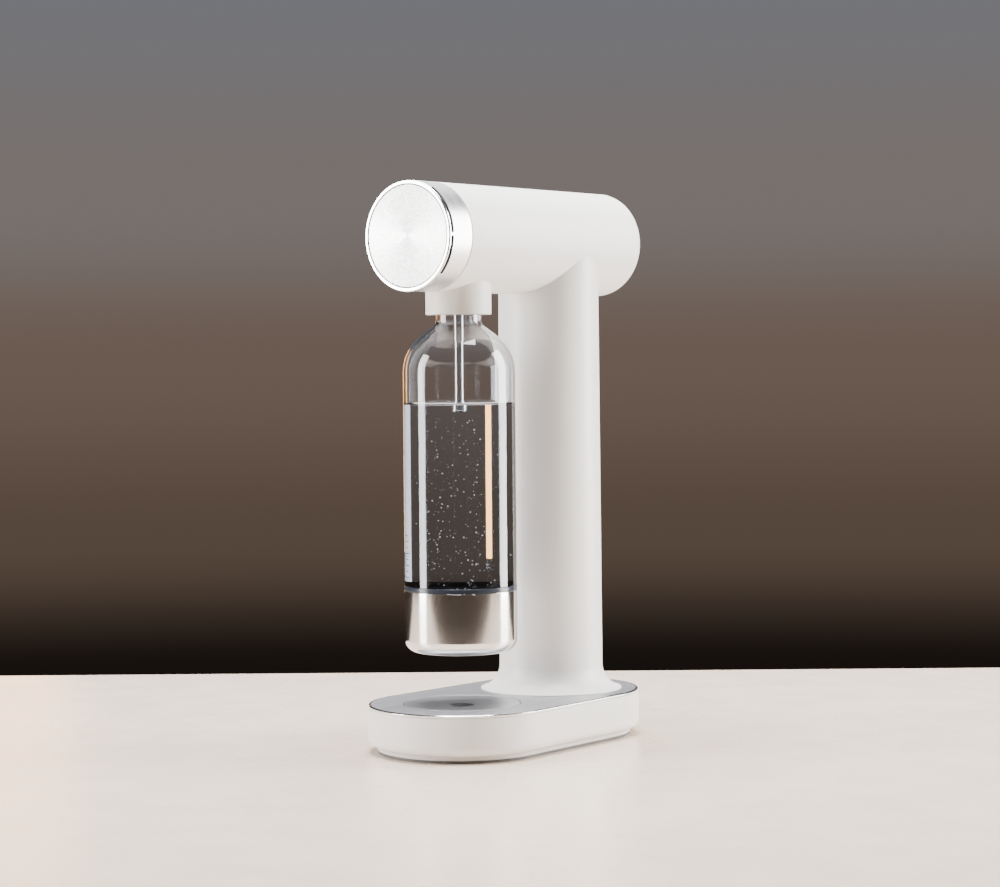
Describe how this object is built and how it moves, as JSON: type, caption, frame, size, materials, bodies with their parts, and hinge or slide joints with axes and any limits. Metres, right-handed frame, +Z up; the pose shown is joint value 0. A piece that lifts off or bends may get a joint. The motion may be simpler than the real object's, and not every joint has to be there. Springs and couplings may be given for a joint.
{
  "type": "soda carbonator",
  "caption": "Countertop soda carbonator: round column on a flat stadium base, horizontal round head with a turning front knob, clear water bottle hanging by its neck over a drip tray.",
  "frame": {"origin": "on the table, under the middle of the machine's overall box", "axes": "+Z up; -Y towards the user, where the knob faces; +Y to the rear, where the cover comes off; +X to the user's right"},
  "size_m": [0.1438, 0.2584, 0.4323],
  "materials": {
    "white_shell": "satin",
    "holder_white": "satin",
    "plate_steel": "brushed",
    "knob_steel": "brushed",
    "knob_disc": "fine satin",
    "dark_plastic": "matte",
    "bottle_clear": "clear",
    "cup_steel": "polished",
    "band_plastic": "gloss",
    "tube_steel": "polished",
    "rubber": "matte",
    "frame_steel": "zinc plated",
    "frame_alloy": "cast",
    "brass": "machined",
    "screw_steel": "zinc plated",
    "magnet": "nickel plated",
    "spring_steel": "bright",
    "shaft_steel": "ground",
    "bush_plastic": "matte",
    "cylinder_paint": "satin"
  },
  "bodies": {
    "stand": {"foot_ring": "rubber", "base_underside": "white_shell", "base_screws": "screw_steel", "base_casing": "white_shell", "base_trim": "holder_white", "base_top_plate": "plate_steel", "base_frame": "frame_steel", "column_screws": "screw_steel", "cylinder_saddle": "bush_plastic", "column_shell": "white_shell", "shell_magnets": "magnet", "spine_frame": "frame_steel", "spine_screws": "screw_steel", "head_shell": "white_shell", "head_frame": "frame_alloy", "valve_block": "brass", "valve_gasket": "rubber", "block_nuts": "brass", "nozzle_block": "brass", "relief_valve": "brass", "gas_pipe": "tube_steel", "pipe_nuts": "brass", "pin_spring": "spring_steel", "shaft_bushes": "bush_plastic", "knob_spring": "spring_steel", "bottle_collar": "holder_white", "collar_screws": "screw_steel", "bottle_seal": "rubber", "nozzle_tube": "tube_steel", "nozzle_tip": "tube_steel"},
    "knob": {"knob_ring": "knob_steel", "knob_rim": "knob_steel", "knob_face": "knob_disc", "knob_hub": "dark_plastic", "hub_screw": "screw_steel", "knob_shaft": "shaft_steel", "valve_cam": "shaft_steel"},
    "push_pin": {"push_pin": "shaft_steel"},
    "bottle": {"bottle_body": "bottle_clear", "bottle_band": "band_plastic", "bottle_cup": "cup_steel"},
    "gas_cylinder": {"cylinder_body": "cylinder_paint", "cylinder_valve": "brass"},
    "rear_cover": {"rear_cover": "white_shell", "cover_magnets": "magnet"},
    "drip_tray": {"drip_tray": "plate_steel"}
  },
  "joints": [
    {"name": "knob_turn", "type": "hinge", "parent": "stand", "child": "knob", "pos_m": [0, 0, 0.3908], "axis": [0, 1, 0], "range_deg": [0, 50], "stiffness_Nm_per_rad": 0.4, "springref_deg": -17.19},
    {"name": "push_pin_slide", "type": "slide", "parent": "stand", "child": "push_pin", "axis": [0, 0, -1], "range_m": [0, 0.0024], "stiffness_N_per_m": 300, "deforming": ["pin_spring"]},
    {"name": "bottle_turn", "type": "hinge", "parent": "stand", "child": "bottle", "pos_m": [0, -0.0573, 0.34], "axis": [0, 0, 1], "range_deg": [0, 60]},
    {"name": "cylinder_unscrew", "type": "hinge", "parent": "stand", "child": "gas_cylinder", "pos_m": [0, 0.0552, 0.35], "axis": [0, 0, -1], "range_deg": [0, 1080]},
    {"name": "cover_slide", "type": "slide", "parent": "stand", "child": "rear_cover", "axis": [0, 1, 0], "range_m": [0, 0.12]},
    {"name": "tray_lift", "type": "slide", "parent": "stand", "child": "drip_tray", "axis": [0, 0, 1], "range_m": [0, 0.03]}
  ],
  "couplings": [
    {"joint": "push_pin_slide", "follows": "knob_turn", "m_per_rad": 0.00275}
  ]
}
